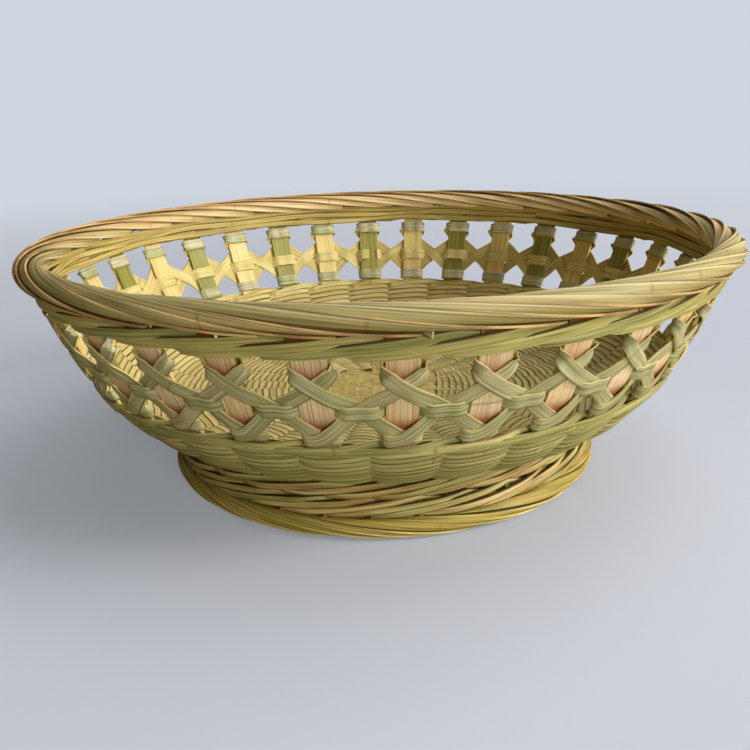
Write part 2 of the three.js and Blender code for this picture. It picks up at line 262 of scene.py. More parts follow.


# Split bamboo: long fibres that run with the strip, some brown fibres, a hue that drifts
# from strip to strip and along each one. The UV map is in millimetres. Each entry of edges
# shades a side of the strip, from one distance off its middle to another: dark bands are
# painted shade where the next strip lies over it or in the groove between strips, pale
# bands are pared edges, in some finishes also a painted highlight. Every band takes the
# shine off, so that the painted shade shows no reflection; the bands wander along the strip.
def makeBamboo(name, look):
    material = bpy.data.materials.new(name)
    material.use_nodes = True
    tree = material.node_tree
    tree.nodes.clear()
    uv = addNode(tree, "ShaderNodeUVMap")
    tone = addNode(tree, "ShaderNodeAttribute", {"attribute_name": "tone"})
    stagger = addNode(
        tree, "ShaderNodeVectorMath", {"operation": "SCALE", 0: stripShift}, {3: tone.outputs["Fac"]}
    )
    spot = addNode(
        tree, "ShaderNodeVectorMath", {"operation": "ADD"}, {0: uv.outputs[0], 1: stagger.outputs[0]}
    )
    grain = {}
    for part, (length, width, detail) in look["grain"].items():
        scaled = addNode(
            tree, "ShaderNodeMapping", {3: (1 / length, 1 / width, 1)}, {0: spot.outputs[0]}
        )
        grain[part] = addNode(
            tree,
            "ShaderNodeTexNoise",
            {"noise_dimensions": "2D", 2: 1.0, 3: detail, 4: noiseRoughness},
            {0: scaled.outputs[0]},
        ).outputs[0]
    base = addNode(tree, "ShaderNodeValToRGB", links={0: grain["fibre"]})
    fillRamp(base.color_ramp, look["colours"])
    other = addNode(tree, "ShaderNodeValToRGB", links={0: grain["fibre"]})
    fillRamp(other.color_ramp, look["otherColours"])
    drift = addNode(
        tree,
        "ShaderNodeMath",
        {"operation": "MULTIPLY_ADD", 1: look["drift"]},
        {0: grain["patch"], 2: tone.outputs["Fac"]},
    )
    share = addNode(
        tree,
        "ShaderNodeMapRange",
        {1: look["drift"] * 0.5 + 0.25, 2: look["drift"] * 0.5 + 0.75},
        {0: drift.outputs[0]},
    )
    hue = addNode(
        tree,
        "ShaderNodeMix",
        {"data_type": "RGBA"},
        {0: share.outputs[0], 6: base.outputs[0], 7: other.outputs[0]},
    )
    brown = addNode(
        tree,
        "ShaderNodeMapRange",
        {1: look["streakFrom"], 2: look["streakFrom"] + streakSoftness, 4: look["streakShare"]},
        {0: grain["streak"]},
    )
    streaked = addNode(
        tree,
        "ShaderNodeMix",
        {"data_type": "RGBA", 7: linearColour(look["streakColour"])},
        {0: brown.outputs[0], 6: hue.outputs[2]},
    )
    alongSpot = addNode(tree, "ShaderNodeSeparateXYZ", links={0: spot.outputs[0]})
    nodeSpan = addNode(
        tree, "ShaderNodeMath", {"operation": "PINGPONG", 1: nodeSpacing / 2}, {0: alongSpot.outputs[0]}
    )
    nodeMark = addNode(
        tree,
        "ShaderNodeMapRange",
        {1: nodeWidth, 2: nodeWidth / 3, 4: nodeStrength},
        {0: nodeSpan.outputs[0]},
    )
    streaked = addNode(
        tree,
        "ShaderNodeMix",
        {"data_type": "RGBA", 7: linearColour(nodeColour)},
        {0: nodeMark.outputs[0], 6: streaked.outputs[2]},
    )
    across = addNode(tree, "ShaderNodeSeparateXYZ", links={0: uv.outputs[0]})
    # Stains and painted shade, by length along the strip
    if "stainsAndShade" in look:
        length = addNode(
            tree, "ShaderNodeMath", {"operation": "DIVIDE", 1: stainAndShadeSpan}, {0: across.outputs[0]}
        )
        stainAndShadeRamp = addNode(tree, "ShaderNodeValToRGB", links={0: length.outputs[0]})
        fillRamp(stainAndShadeRamp.color_ramp, look["stainsAndShade"])
        streaked = addNode(
            tree,
            "ShaderNodeMix",
            {"data_type": "RGBA", 7: linearColour(look["stainAndShadeColour"])},
            {0: stainAndShadeRamp.outputs[0], 6: streaked.outputs[2]},
        )
    wander = look["wander"]
    side = addNode(
        tree,
        "ShaderNodeMath",
        {"operation": "MULTIPLY_ADD", 1: wander},
        {0: grain["patch"], 2: across.outputs[1]},
    )
    gloss = addNode(tree, "ShaderNodeMath", {"operation": "MULTIPLY", 0: fullGloss, 1: 1.0})
    # Painted shade in the grooves and pale edges, each band also taking off the shine
    for start, end, code, strength in look["edges"]:
        reach = addNode(
            tree,
            "ShaderNodeMapRange",
            {1: start + wander / 2, 2: end + wander / 2, 4: strength},
            {0: side.outputs[0]},
        )
        streaked = addNode(
            tree,
            "ShaderNodeMix",
            {"data_type": "RGBA", 7: linearColour(code)},
            {0: reach.outputs[0], 6: streaked.outputs[2]},
        )
        dull = addNode(
            tree, "ShaderNodeMath", {"operation": "SUBTRACT", 0: 1.0}, {1: reach.outputs[0]}
        )
        gloss = addNode(
            tree,
            "ShaderNodeMath",
            {"operation": "MULTIPLY"},
            {0: gloss.outputs[0], 1: dull.outputs[0]},
        )
    rough = addNode(
        tree,
        "ShaderNodeMapRange",
        {1: 0.3, 2: 0.7, 3: look["roughness"][0], 4: look["roughness"][1]},
        {0: grain["fibre"]},
    )
    relief = addNode(
        tree,
        "ShaderNodeBump",
        {0: look["reliefStrength"], 1: look["relief"] / 1000},
        {"Height": grain["fibre"]},
    )
    shader = addNode(
        tree,
        "ShaderNodeBsdfPrincipled",
        links={
            "Base Color": streaked.outputs[2],
            "Roughness": rough.outputs[0],
            "Specular IOR Level": gloss.outputs[0],
            "Normal": relief.outputs[0],
        },
    )
    addNode(tree, "ShaderNodeOutputMaterial", links={0: shader.outputs[0]})
    return material


# The stakes are darkened above each wrap and under the rim, partly a stain and partly painted
# shade cast by the wraps and the rim: grey level of the darkening by height on the stake
stainAndShadeHeights = [
    (46.0, "#000000"), (50.0, "#A0A0A0"), (60.0, "#F4F4F4"), (61.7, "#C8C8C8"), (63.4, "#808080"),
    (66.5, "#000000"), (74.0, "#000000"), (78.4, "#F0F0F0"), (80.4, "#C0C0C0"), (82.6, "#808080"),
    (85.0, "#404040"), (89.0, "#909090"), (91.0, "#FFFFFF"),
]
stakeStart = 30.4
stakeStainAndShade = [
    ((arcAt(height) - arcAt(stakeStart)) / stainAndShadeSpan, code) for height, code in stainAndShadeHeights
]

# Split faces and cut edges are dry and rough
splitFace = {
    "wander": 0.0,
    "edges": [],
    "roughness": (0.6, 0.75),
    "reliefStrength": 0.6,
    "relief": 0.2,
}

# Bark side of split bamboo, dried with its green left on: waxy, faint lengthwise lines.
# The fibres are drawn 0.8 mm wide, coarser than on a real strip, so that they show. The
# finishes below draw theirs 0.6 to 1 mm wide.
stripBark = makeBamboo("splitBambooBark", {
    "grain": {"fibre": (38, 0.8, 4), "patch": (26, 8, 1), "streak": (20, 0.6, 1)},
    "colours": [(0.3, "#84845A"), (0.5, "#B0B07E"), (0.72, "#D6D6AE")],
    "otherColours": [(0.3, "#9C926C"), (0.5, "#C2B890"), (0.72, "#E4DCBC")],
    "drift": 0.9,
    "streakFrom": 0.66,
    "streakShare": 0.6,
    "streakColour": "#7D7434",
    "wander": 0.3,
    # The pale far edge is the pared edge, brightened as a painted highlight; the darker near edge is
    # painted shade
    "edges": [(2.25, 2.6, "#E4D9AE", 0.7), (-2.0, -2.6, "#5E5A2C", 0.65)],
    "roughness": (0.45, 0.6),
    "reliefStrength": 0.6,
    "relief": 0.18,
})
# Narrow weavers of the rows: the same bark, greener, with painted shade in the grooves between rows
weaveBark = makeBamboo("weaverBambooBark", {
    "grain": {"fibre": (34, 0.7, 3), "patch": (40, 6, 1), "streak": (24, 0.6, 1)},
    "colours": [(0.3, "#8A8A4C"), (0.5, "#A9A668"), (0.72, "#C6C08A")],
    "otherColours": [(0.3, "#A99F64"), (0.5, "#C6BA7E"), (0.72, "#DFD49E")],
    "drift": 0.9,
    "streakFrom": 0.62,
    "streakShare": 0.65,
    "streakColour": "#6E632C",
    "wander": 0.5,
    "edges": [(1.0, 1.4, "#3A3012", 0.88), (-1.1, -1.5, "#4A3E1A", 0.7)],
    "roughness": (0.45, 0.62),
    "reliefStrength": 0.6,
    "relief": 0.18,
})
# Wider rods of the waling below the rim, with painted shade in the groove where one slips under the next
waleBark = makeBamboo("walingBambooBark", {
    "grain": {"fibre": (40, 0.8, 3), "patch": (60, 7, 1), "streak": (30, 0.6, 1)},
    "colours": [(0.3, "#7E7D42"), (0.5, "#A19E60"), (0.72, "#C0BB80")],
    "otherColours": [(0.3, "#9A914E"), (0.5, "#B9AE68"), (0.72, "#D6CA8C")],
    "drift": 0.9,
    "streakFrom": 0.62,
    "streakShare": 0.65,
    "streakColour": "#6E632C",
    "wander": 0.4,
    "edges": [(1.1, 1.4, "#33240E", 0.88), (-1.4, -1.7, "#E0D49C", 0.5)],
    "roughness": (0.45, 0.62),
    "reliefStrength": 0.6,
    "relief": 0.18,
})
# Split side and cut edges of the same strips: pale, dry and fibrous
stripFlesh = makeBamboo("splitBambooFlesh", {
    "grain": {"fibre": (30, 0.7, 3), "patch": (40, 8, 1), "streak": (26, 0.5, 1)},
    "colours": [(0.3, "#C2AE62"), (0.5, "#DECB83"), (0.72, "#EBDDA2")],
    "otherColours": [(0.3, "#B9A056"), (0.5, "#D3BC6F"), (0.72, "#E6D592")],
    "drift": 0.8,
    "streakFrom": 0.66,
    "streakShare": 0.6,
    "streakColour": "#A57F3A",
    **splitFace,
})
# Split side of the woven rows, the inside of the bowl, with painted shade in its grooves
weaveFlesh = makeBamboo("weaverBambooFlesh", {
    "grain": {"fibre": (30, 0.7, 3), "patch": (40, 8, 1), "streak": (26, 0.5, 1)},
    "colours": [(0.3, "#BDAA62"), (0.5, "#DBC985"), (0.72, "#EADBA4")],
    "otherColours": [(0.3, "#AE9952"), (0.5, "#CDB770"), (0.72, "#E2D092")],
    "drift": 0.9,
    "streakFrom": 0.64,
    "streakShare": 0.6,
    "streakColour": "#96702F",
    **splitFace,
    "wander": 0.5,
    "edges": [(0.95, 1.45, "#66501F", 0.8), (-1.05, -1.5, "#66501F", 0.8)],
})
# Split side of the wide stakes: pinkish tan with strong brown fibres about 1 mm apart
stakeFlesh = makeBamboo("stakeBambooFlesh", {
    "grain": {"fibre": (70, 0.6, 2), "patch": (24, 7, 1), "streak": (90, 0.5, 1)},
    "colours": [(0.3, "#F2D0A0"), (0.5, "#FFE7C4"), (0.7, "#FFF1D8")],
    "otherColours": [(0.3, "#ECC28C"), (0.5, "#FEE0B2"), (0.7, "#FFEAC8")],
    "drift": 0.7,
    "streakFrom": 0.56,
    "streakShare": 0.6,
    "streakColour": "#B8742C",
    "wander": 0.0,
    "edges": [],
    # Darkened near the wraps and under the rim: partly stain, partly painted shade
    "stainsAndShade": stakeStainAndShade,
    "stainAndShadeColour": "#90420A",
    "roughness": (0.62, 0.78),
    "reliefStrength": 0.7,
    "relief": 0.25,
})
# Bark side of the stakes, which looks into the bowl: every other one green, the rest yellow
stakeBark = makeBamboo("stakeBambooBark", {
    "grain": {"fibre": (45, 1.0, 2), "patch": (30, 9, 1), "streak": (40, 0.9, 1)},
    "colours": [(0.3, "#D8B668"), (0.5, "#EDCF86"), (0.7, "#F4DE9F")],
    "otherColours": [(0.3, "#7E7A32"), (0.5, "#979142"), (0.7, "#AEA659")],
    "drift": 0.25,
    "streakFrom": 0.68,
    "streakShare": 0.45,
    "streakColour": "#A0803C",
    "wander": 0.0,
    "edges": [],
    "roughness": (0.45, 0.6),
    "reliefStrength": 0.5,
    "relief": 0.18,
})
# Thinned stake ends that form the roll of the rim: straw coloured, partly green
rimBark = makeBamboo("rimBambooBark", {
    "grain": {"fibre": (60, 0.8, 4), "patch": (60, 7, 1), "streak": (40, 0.6, 1)},
    "colours": [(0.3, "#8E8350"), (0.5, "#B4A66C"), (0.72, "#D2C590")],
    "otherColours": [(0.3, "#C09660"), (0.5, "#EAC68E"), (0.72, "#FAE0B2")],
    "drift": 0.8,
    "streakFrom": 0.64,
    "streakShare": 0.6,
    "streakColour": "#8A6430",
    "wander": 0.9,
    # A painted highlight near the lifted far edge, a painted shadow line at that edge, and painted shade
    # on the near side under the strand before
    "edges": [(1.6, 1.85, "#F0E2B4", 0.6), (2.2, 2.4, "#4A2612", 0.6), (-0.85, -1.15, "#4A2612", 0.8)],
    "roughness": (0.45, 0.62),
    "reliefStrength": 0.6,
    "relief": 0.2,
})
# Cut edges of the same stake ends: ochre, a little browned
rimFlesh = makeBamboo("rimBambooFlesh", {
    "grain": {"fibre": (40, 0.8, 3), "patch": (60, 7, 1), "streak": (34, 0.6, 1)},
    "colours": [(0.3, "#A68350"), (0.5, "#C7A468"), (0.72, "#DDBE84")],
    "otherColours": [(0.3, "#9A7040"), (0.5, "#BE9458"), (0.72, "#D8B276")],
    "drift": 0.8,
    "streakFrom": 0.62,
    "streakShare": 0.6,
    "streakColour": "#7A4E20",
    **splitFace,
})
# Painted shade: a dark brown finish for the inside of the rim's roll and of the foot's border and for the
# outer side of the lining, seen only through slits, where no light reaches
rimPaintedShade = makeBamboo("rimBambooPaintedShade", {
    "grain": {"fibre": (30, 0.9, 2), "patch": (20, 6, 1), "streak": (20, 0.8, 1)},
    "colours": [(0.3, "#4A3018"), (0.5, "#6B4624"), (0.7, "#7D552D")],
    "otherColours": [(0.3, "#4A3018"), (0.5, "#5F3D1F"), (0.7, "#754C26")],
    "drift": 0.5,
    "streakFrom": 0.7,
    "streakShare": 0.4,
    "streakColour": "#3A2612",
    "wander": 0.0,
    "edges": [],
    "roughness": (0.7, 0.8),
    "reliefStrength": 0.5,
    "relief": 0.2,
})
# Narrow rods of the foot: yellow-green bark beside ochre split faces
footBark = makeBamboo("footBambooBark", {
    "grain": {"fibre": (36, 0.8, 3), "patch": (46, 6, 1), "streak": (24, 0.7, 1)},
    "colours": [(0.3, "#85813F"), (0.5, "#ADA75E"), (0.72, "#D0C988")],
    "otherColours": [(0.3, "#A0824A"), (0.5, "#C4AA68"), (0.72, "#E0CC92")],
    "drift": 1.0,
    "streakFrom": 0.6,
    "streakShare": 0.7,
    "streakColour": "#8F5A24",
    "wander": 0.5,
    # Painted shade in the gaps along both edges of each rod
    "edges": [(0.5, 0.75, "#321E0A", 0.94), (-0.65, -0.9, "#55350F", 0.8)],
    "roughness": (0.42, 0.6),
    "reliefStrength": 0.6,
    "relief": 0.2,
})
# Strands of the foot's border: greener, with an ochre split edge on the far side and painted shade on the
# near side, where the strand before lies over it
borderBark = makeBamboo("borderBambooBark", {
    "grain": {"fibre": (50, 0.8, 3), "patch": (60, 6, 1), "streak": (30, 0.7, 1)},
    "colours": [(0.3, "#76752F"), (0.5, "#9C9A46"), (0.72, "#C0BA66")],
    "otherColours": [(0.3, "#A48A3C"), (0.5, "#C8AC58"), (0.72, "#E6CE80")],
    "drift": 0.9,
    "streakFrom": 0.62,
    "streakShare": 0.65,
    "streakColour": "#8F5A24",
    "wander": 0.6,
    "edges": [(1.2, 1.45, "#DCA04E", 0.75), (-0.3, -0.6, "#34220C", 0.92)],
    "roughness": (0.42, 0.6),
    "reliefStrength": 0.6,
    "relief": 0.2,
})
# Lining strips under the rim: a darker copy of the ochre split face, painted shade of the rim above, with
# painted shade in the grooves
liningFleshPaintedShade = makeBamboo("liningBambooFleshPaintedShade", {
    "grain": {"fibre": (40, 0.8, 3), "patch": (50, 7, 1), "streak": (34, 0.6, 1)},
    "colours": [(0.3, "#8C7034"), (0.5, "#B0904A"), (0.72, "#CBAE68")],
    "otherColours": [(0.3, "#9A8440"), (0.5, "#BCA558"), (0.72, "#D6C27A")],
    "drift": 0.8,
    "streakFrom": 0.62,
    "streakShare": 0.6,
    "streakColour": "#7A4E20",
    **splitFace,
    "wander": 0.5,
    "edges": [(1.05, 1.4, "#4A3014", 0.8), (-1.1, -1.45, "#4A3014", 0.7)],
})
print("bamboo finishes made")


# Stakes: wide flat strips, split side out, that narrow towards the floor
stakeLook = {
    "thickness": 1.2,
    "widthAtFloor": 8.6,
    "widthAtRim": 11.0,
    "widthSpread": (0.96, 1.02),
    "steps": 34,
    "wallGap": 0.6,
    "startHeight": stakeStart,
    "endHeight": 96.6,
    "crown": 0.18,
    "bevel": 0.2,
    "yellowTone": 0.12,
    "greenTone": 0.88,
    "toneSpread": 0.1,
}


def makeStakes(look):
    first = arcAt(look["startHeight"])
    last = arcAt(bowl["wallTop"] - look["wallGap"])
    arc = np.linspace(first, last, look["steps"])
    for i in range(bowl["stakes"]):
        angle = (i + 0.5) * pitch
        points = onWall(np.full(len(arc), angle), arc, 0.0)[0]
        points = np.vstack([points, points[-1] + [0, 0, look["endHeight"] - points[-1, 2]]])
        radius = np.hypot(points[:, 0], points[:, 1])
        share = (radius - bowl["floorRadius"]) / wallSpan
        width = look["widthAtFloor"] + (look["widthAtRim"] - look["widthAtFloor"]) * share
        width = width * chance.uniform(*look["widthSpread"])
        tone = look["yellowTone"] if i % 2 else look["greenTone"]
        strip = layStrip(
            points,
            width,
            across=leftOf(angle, len(points)),
            columns=4,
            crown=look["crown"],
            tone=tone + chance.uniform(-look["toneSpread"], look["toneSpread"]),
        )
        node = f"stake_{i + 1:02d}"
        bindStrips(
            f"stakeStrip{i + 1:02d}", [strip], look["thickness"], (stakeFlesh, stakeBark),
            [node], look["bevel"],
        )


makeStakes(stakeLook)
print("stakes made")


# Zigzag strips: from behind a stake round its left edge, over its front, through the
# crossing, under the other strip and round the right edge of the next stake.
# Knots are millimetres along the wall from a stake, height, and distance from the wall.
zigzagLook = {
    "width": 5.4,
    "crown": 0.12,
    "spacing": 0.9,
    "thickness": 0.55,
    "bevel": 0.1,
    "parts": 4,
    "downLeave": [
        (0, 81.0, -1.15), (-4.8, 81.1, -1.15), (-6.4, 81.0, 0.3), (-5.2, 80.0, 1.75),
        (-3.2, 77.8, 1.9), (0, 75.1, 1.85), (4.2, 72.1, 1.7), (8.4, 69.1, 0.75),
    ],
    "downArrive": [
        (-8.6, 62.7, 0.7), (-5.3, 60.0, 1.1), (0, 56.3, 1.15), (4.4, 55.3, 1.1),
        (6.3, 55.0, 0.0), (4.6, 55.0, -1.15),
    ],
    "upLeave": [
        (0, 55.0, -1.15), (-4.6, 55.0, -1.15), (-6.3, 55.0, 0.3), (-5.0, 55.0, 1.75),
        (-3.0, 54.9, 1.9), (0, 55.6, 1.85), (4.2, 59.0, 1.7), (8.4, 62.6, 0.75),
    ],
    "upArrive": [
        (-8.6, 69.2, 0.7), (-5.4, 71.5, 1.1), (0, 75.1, 1.15), (2.4, 76.7, 1.15),
        (4.8, 78.8, 1.1), (6.6, 81.2, 0.1), (4.6, 81.1, -1.15),
    ],
    "innerCrossing": -0.15,
    "outerCrossing": 0.5,
}


def makeZigzag(letter, topParity, crossing, look):
    flatRadius = wallRadius(bowl["crossingHeight"])
    perPart = bowl["stakes"] // look["parts"]
    for part in range(look["parts"]):
        knots = []

        def addKnots(stake, rows):
            for x, height, offset in rows:
                angle = (stake + 0.5) * pitch + x / wallRadius(height)
                knots.append((angle * flatRadius, height, offset))

        for i in range(part * perPart, (part + 1) * perPart):
            fromTop = i % 2 == topParity
            addKnots(i, look["downLeave" if fromTop else "upLeave"])
            middle = (0.5 * pitch * flatRadius, bowl["crossingHeight"], crossing)
            addKnots(i, [middle])
            addKnots(i + 1, look["downArrive" if fromTop else "upArrive"])
        addKnots(i + 1, [(-0.1, knots[-1][1], knots[-1][2])])
        route = smoothRoute(knots, look["spacing"])
        arc = np.array([arcAt(height) for height in route[:, 1]])
        points, upSlope = onWall(route[:, 0] / flatRadius, arc, route[:, 2])
        strip = layStrip(points, look["width"], across=upSlope, columns=4, crown=look["crown"])
        node = f"zigzag_{letter}_{part + 1}"
        bindStrips(
            f"zigzagStrip{letter.upper()}{part + 1}", [strip], look["thickness"],
            (stripBark, stripFlesh), [node], look["bevel"],
        )


makeZigzag("a", 0, zigzagLook["outerCrossing"], zigzagLook)
makeZigzag("b", 1, zigzagLook["innerCrossing"], zigzagLook)
print("zigzag strips made")


# Hoop: behind each stake, in front of each crossing
hoopLook = {
    "width": 5.6,
    "crown": 0.12,
    "tone": 0.3,
    "spacing": 1.1,
    "thickness": 0.6,
    "bevel": 0.1,
    "knots": [(0, -1.15), (4.7, -1.15), (6.3, 0.35), (8.3, 1.45)],
    "middleOffset": 1.4,
}


def makeHoop(look):
    flatRadius = wallRadius(bowl["crossingHeight"])
    gap = pitch * flatRadius
    knots = []
    for i in range(bowl["stakes"]):
        shift = (i + 0.5) * gap
        knots += [(shift + x, offset) for x, offset in look["knots"]]
        knots.append((shift + gap / 2, look["middleOffset"]))
        knots += [(shift + gap - x, offset) for x, offset in reversed(look["knots"][1:])]
    route = smoothRoute(knots, look["spacing"])
    arc = arcAt(bowl["crossingHeight"])
    points, upSlope = onWall(route[:, 0] / flatRadius + math.pi, arc, route[:, 1])
    strip = layStrip(
        points, look["width"], across=upSlope, columns=4, crown=look["crown"], tone=look["tone"]
    )
    bindStrips(
        "middleHoop", [strip], look["thickness"], (stripBark, stripFlesh),
        ["middle_hoop"], look["bevel"],
    )


makeHoop(hoopLook)
print("hoop made")


# One row of twining: two weavers that pass outside and inside of the stakes in turn and
# lap over each other between them. lapReach is how far to either side of the middle they lap.
lapReach = 0.45
rowWaves = (2, 3, 7, 11)


def twineRow(arc, width, look, perStake, seam):
    strips = []
    angle = np.linspace(seam, seam + 2 * math.pi - seamGap, bowl["stakes"] * perStake + 1)
    for k in range(2):
        beat = math.pi * (angle / pitch - 0.5 + k)
        swing = np.tanh(look["snap"] * np.cos(beat)) / math.tanh(look["snap"])
        between = np.exp(-((np.cos(beat) / lapReach) ** 2))
        offset = look["swing"] * swing + look["lap"] * between * np.sign(np.sin(beat))
        climb = look["climb"] * np.sin(beat)
        drift = wanderRound(angle, look["drift"], rowWaves)
        points, upSlope = onWall(angle, arc + climb + drift, offset)
        strand = width * chance.uniform(0.95, 1.03) * (1 - look["waist"] * between)
        strips.append(layStrip(points, strand, across=upSlope, columns=4, crown=look["crown"]))
    return strips


# Rows of the floor, the belly under the bowl and the side. The first floor rows follow the
# square mat in the middle and grow round.
weaveLook = {
    "thickness": 0.75,
    "floor": {"from": 51.0, "to": 87.0, "pitch": 3.1, "width": 3.14, "crown": 0.36,
              "swing": 1.15, "lap": 0.4, "climb": 0.35, "snap": 1.2, "waist": 0.0, "drift": 0.04},
    "belly": {"from": 88.3, "pitch": 3.05, "width": 3.1, "crown": 0.38,
              "swing": 1.4, "lap": 0.45, "climb": 0.6, "snap": 1.2, "waist": 0.12, "drift": 0.05},
    "side": {"pitch": 3.0, "width": 3.05, "crown": 0.38,
             "swing": 1.45, "lap": 0.45, "climb": 0.6, "snap": 1.2, "waist": 0.16, "drift": 0.06},
    "squareRows": 8,
    "squareHalf": 26.6,
    "squarePower": 6,
    "floorSteps": 7,
    "wallSteps": 10,
    "bellyTop": 34.5,
    "sideTop": 48.6,
}


def makeWeave(look):
    rows = look["floor"]
    strips = []
    steps, power = look["floorSteps"], look["squarePower"]
    angle = np.linspace(0, 2 * math.pi, bowl["stakes"] * steps + 1)
    for row in range(look["squareRows"]):
        seam = chance.uniform(0, anyTurn)
        turned = angle + seam
        corner = (np.abs(np.cos(turned)) ** power + np.abs(np.sin(turned)) ** power) ** (1 / power)
        side = look["squareHalf"] / corner
        gap = (rows["from"] - side) / look["squareRows"]
        strips += twineRow(side + gap * row, rows["width"] / rows["pitch"] * gap, rows, steps, seam)
    for arc in np.arange(rows["from"], rows["to"], rows["pitch"]):
        strips += twineRow(arc, rows["width"], rows, steps, chance.uniform(0, anyTurn))
    bindStrips(
        "floorWeave", strips, look["thickness"], (weaveBark, weaveFlesh), ["floor_weave"]
    )
    arc = look["belly"]["from"]
    for name, key, top in (("bellyWeave", "belly", "bellyTop"), ("sideWeave", "side", "sideTop")):
        rows = look[key]
        strips = []
        while arc < arcAt(look[top]):
            seam = chance.uniform(0, anyTurn)
            strips += twineRow(arc, rows["width"], rows, look["wallSteps"], seam)
            arc += rows["pitch"]
        bindStrips(
            name, strips, look["thickness"], (weaveBark, weaveFlesh),
            [f"{key}_weave_outer", f"{key}_weave_inner"],
        )


makeWeave(weaveLook)
print("floor, belly and side woven")


# Spokes of the floor: eight strips each way, woven plain in the middle, that fan out to
# the stakes
spokeLook = {
    "eachWay": 8,
    "thickness": 0.8,
    "spacing": 6.2,
    "matHalf": 25.0,
    "midWidth": 6.0,
    "endWidth": 8.4,
    "endRadius": 104.3,
    "fanRadii": (88, 66, 46),
    "weave": 0.4,
    "crown": 0.1,
    "stepLength": 2.0,
    "tone": 0.45,
    "toneSpread": 0.12,
}


def makeSpokes(look):
    strips = []
    places = range(-look["eachWay"] // 2, look["eachWay"] // 2)
    radii = (look["endRadius"], *look["fanRadii"])
    for turn in (0, math.pi / 2):
        for j in places:
            angle = (j + 0.5) * pitch
            x = (j + 0.5) * look["spacing"]
            knots = [(r * math.sin(angle), -r * math.cos(angle), 0) for r in radii]
            for n in places:
                over = look["weave"] * (1 if (n + j) % 2 else -1) * (1 if turn else -1)
                knots.append((x, (n + 0.5) * look["spacing"], over))
            knots += [(r * math.sin(angle), r * math.cos(angle), 0) for r in reversed(radii)]
            route = smoothRoute(knots, look["stepLength"])
            radius = np.hypot(route[:, 0], route[:, 1])
            height = wallProfile(radius)[0]
            c, s = math.cos(turn), math.sin(turn)
            points = np.stack([
                c * route[:, 0] - s * route[:, 1], s * route[:, 0] + c * route[:, 1], height + route[:, 2],
            ], 1)
            share = np.clip((radius - look["matHalf"]) / (look["endRadius"] - look["matHalf"]), 0, 1)
            width = look["midWidth"] + (look["endWidth"] - look["midWidth"]) * share
            tone = look["tone"] + chance.uniform(-look["toneSpread"], look["toneSpread"])
            strips.append(layStrip(
                points, width, facing=upright(len(points)), columns=2, crown=look["crown"], tone=tone
            ))
    bindStrips("floorSpokes", strips, look["thickness"], (stakeBark, stripFlesh))


makeSpokes(spokeLook)
print("floor spokes made")


# Waling: rods that each pass outside over some stakes, climbing, then inside behind the
# rest, and fall back. phase counts the stakes since a rod last came outside.
steadyClimb = 0.45
easedClimb = 0.55
rodWaves = (2, 3, 5, 9)


def easeClimb(share):
    return steadyClimb * share + easedClimb * easeStep(share)


def waleRow(look, seam):
    routes = []
    count, over = look["rods"], look["over"]
    angle = np.linspace(seam, seam + 2 * math.pi - seamGap, bowl["stakes"] * look["perStake"] + 1)
    for k in range(count):
        phase = (angle / pitch - look["firstStake"] + k + 0.5) % count
        outside = np.minimum(phase / over, 1)
        inside = np.clip((phase - over) / (count - over), 0, 1)
        rise = easeClimb(outside) - easeClimb(inside)
        come = 0.5 + np.where(phase > (count + over) / 2, phase - count, phase) / look["turn"]
        leave = 0.5 - (phase - over) / look["turn"]
        share = easeStep(np.clip(np.minimum(come, leave), 0, 1))
        offset = look["inner"] + (look["outer"] - look["inner"]) * share
        drift = wanderRound(angle, look["drift"], rodWaves)
        routes.append((angle, look["low"] + (look["high"] - look["low"]) * rise + drift, offset))
    return routes


def wallRods(look, seam):
    strips = []
    for angle, height, offset in waleRow(look, seam):
        arc = np.array([arcAt(h) for h in height])
        points, upSlope = onWall(angle, arc, offset)
        width = look["width"] * chance.uniform(0.94, 1.05)
        strips.append(
            layStrip(points, width, across=upSlope, columns=4, tilt=look["tilt"], crown=look["crown"])
        )
    return strips


upperWaleLook = {
    "firstStake": 0.5, "perStake": 12, "rods": 3, "over": 2, "turn": 1.3,
    "low": 86.4, "high": 91.2, "inner": -1.4, "outer": 1.6, "drift": 0.24,
    "width": 3.6, "thickness": 0.8, "tilt": -0.26, "crown": 0.4,
}
bindStrips(
    "upperWale", wallRods(upperWaleLook, math.pi + 0.3), upperWaleLook["thickness"],
    (waleBark, stripFlesh), ["upper_wale_outer"],
)

# Lining strips inside the upper wale
liningLook = {
    "heights": (86.0, 89.0, 91.8), "offset": -2.5, "width": 3.0, "thickness": 0.7, "wave": 0.5,
    "slowWave": 0.25, "slowCount": 5, "swell": 0.35, "firstTurn": 0.4, "rowTurn": 2.1, "points": 321,
    "crown": 0.1, "tone": 0.8,
}


def makeLining(look):
    strips = []
    for row, height in enumerate(look["heights"]):
        angle = np.linspace(0, 2 * math.pi - liningSeamGap, look["points"])
        angle = angle + look["rowTurn"] * row + look["firstTurn"]
        wave = look["wave"] * np.sin(angle * bowl["stakes"] / 3 + row * 2.1)
        wave = wave + look["slowWave"] * np.sin(angle * look["slowCount"] + row)
        arc = np.array([arcAt(h) for h in height + wave])
        offset = look["offset"] + look["swell"] * np.sin(angle * bowl["stakes"] / 2 + row * 2.0)
        points, upSlope = onWall(angle, arc, offset)
        strips.append(layStrip(
            points, look["width"], across=upSlope, columns=2, crown=look["crown"], tone=look["tone"]
        ))
    # The lining's outer side, seen through the waling's slits, takes the dark painted shade finish
    bindStrips(
        "upperLining", strips, look["thickness"], (rimPaintedShade, liningFleshPaintedShade), ["upper_wale_inner"]
    )


makeLining(liningLook)
print("upper wale made")

